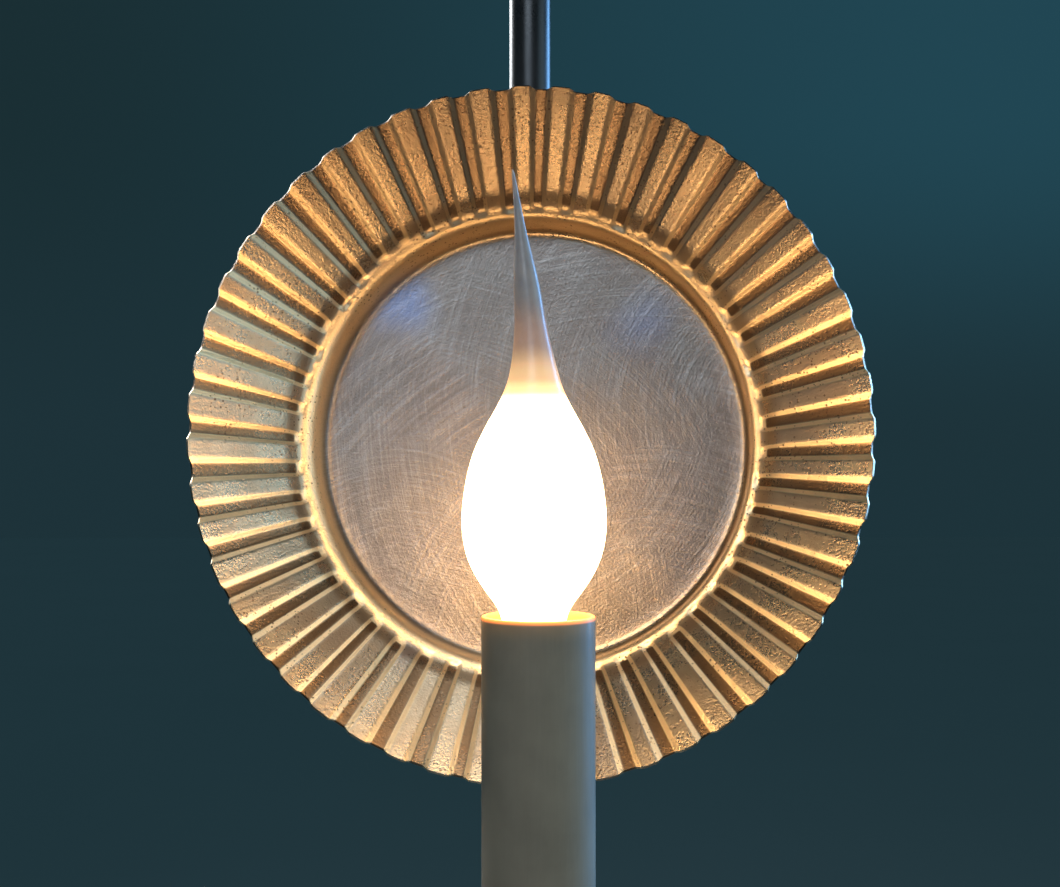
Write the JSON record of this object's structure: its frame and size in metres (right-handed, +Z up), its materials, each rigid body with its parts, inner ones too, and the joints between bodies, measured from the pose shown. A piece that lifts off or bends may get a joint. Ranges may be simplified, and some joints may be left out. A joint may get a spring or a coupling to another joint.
{
  "type": "wall sconce candle holder",
  "caption": "Wall sconce: a black canopy and drop stem carry an electric candle in front of a tilting, fluted round tin reflector.",
  "frame": {"origin": "middle of the mounting strap's back face, on the wall", "axes": "+Y into the wall, so the sconce stands out along -Y; +X to a viewer's right; +Z up"},
  "size_m": [0.1664, 0.188, 0.4786],
  "materials": {
    "black_enamel": "gloss black enamel over steel, worn thin at the edges",
    "aged_tin": "hand-buffed tinned sheet, pitted and a little rusted",
    "steel": "plain zinc-plated steel",
    "brass": "satin brass",
    "ivory_fibre": "ivory-coated fibre tube",
    "phenolic": "dark moulded phenolic",
    "nickel": "nickel plate",
    "silicone": "translucent dipped silicone",
    "clear_glass": "clear glass",
    "tungsten": "glowing filament",
    "green_steel": "green-dyed zinc plate",
    "black_wire": "black insulation",
    "white_wire": "white insulation",
    "orange_plastic": "orange moulded cap"
  },
  "bodies": {
    "frame": {"mounting_strap": "steel", "canopy_stud_left": "steel", "canopy_stud_right": "steel", "jam_nut_left": "steel", "jam_nut_right": "steel", "cap_nut_left": "brass", "cap_nut_right": "brass", "ground_screw": "green_steel", "canopy": "black_enamel", "lock_washer": "steel", "canopy_lock_nut": "steel", "canopy_nipple": "steel", "canopy_collar": "black_enamel", "elbow": "black_enamel", "stem_tube": "black_enamel", "stem_coupling": "black_enamel", "candle_arm": "black_enamel", "arm_seat": "black_enamel", "arm_nipple": "steel", "drip_pan": "aged_tin", "candle_cup": "black_enamel", "socket_bracket": "steel", "bracket_screw": "steel", "foot_lock_nut": "steel", "socket_body": "phenolic", "socket_shell": "brass", "socket_contact": "brass", "terminal_screw_left": "brass", "terminal_screw_right": "brass", "clamp_front": "black_enamel", "clamp_rear": "black_enamel", "clamp_screw_left": "steel", "clamp_screw_right": "steel", "clamp_nut_left": "steel", "clamp_nut_right": "steel", "tilt_screw": "steel", "lead_wire_left": "black_wire", "lead_wire_right": "white_wire", "wire_nut_left": "orange_plastic", "wire_nut_right": "orange_plastic"},
    "reflector_plate": {"reflector": "aged_tin", "reflector_bracket": "black_enamel", "reflector_rivet_lower": "steel", "reflector_rivet_upper": "steel"},
    "tilt_nut": {"thumb_nut": "black_enamel"},
    "sleeve": {"candle_sleeve": "ivory_fibre"},
    "lamp": {"silicone_coat": "silicone", "bulb_glass": "clear_glass", "bulb_cap": "nickel", "bulb_insulator": "phenolic", "bulb_contact": "nickel", "bulb_mount": "clear_glass", "filament_support_left": "nickel", "filament_support_right": "nickel", "filament": "tungsten"}
  },
  "joints": [
    {"name": "reflector_tilt", "type": "hinge", "parent": "frame", "child": "reflector_plate", "pos_m": [0, -0.0585, -0.20036], "axis": [1, 0, 0], "range_deg": [-5, 21]},
    {"name": "thumb_nut_turn", "type": "hinge", "parent": "frame", "child": "tilt_nut", "pos_m": [0, -0.0585, -0.20036], "axis": [1, 0, 0], "range_deg": [0, 270]},
    {"name": "sleeve_lift", "type": "slide", "parent": "frame", "child": "sleeve", "axis": [0, 0, 1], "range_m": [0, 0.004]},
    {"name": "lamp_turn", "type": "hinge", "parent": "frame", "child": "lamp", "pos_m": [0, -0.148, -0.2434], "axis": [0, 0, 1], "range_deg": [0, 1170]}
  ]
}
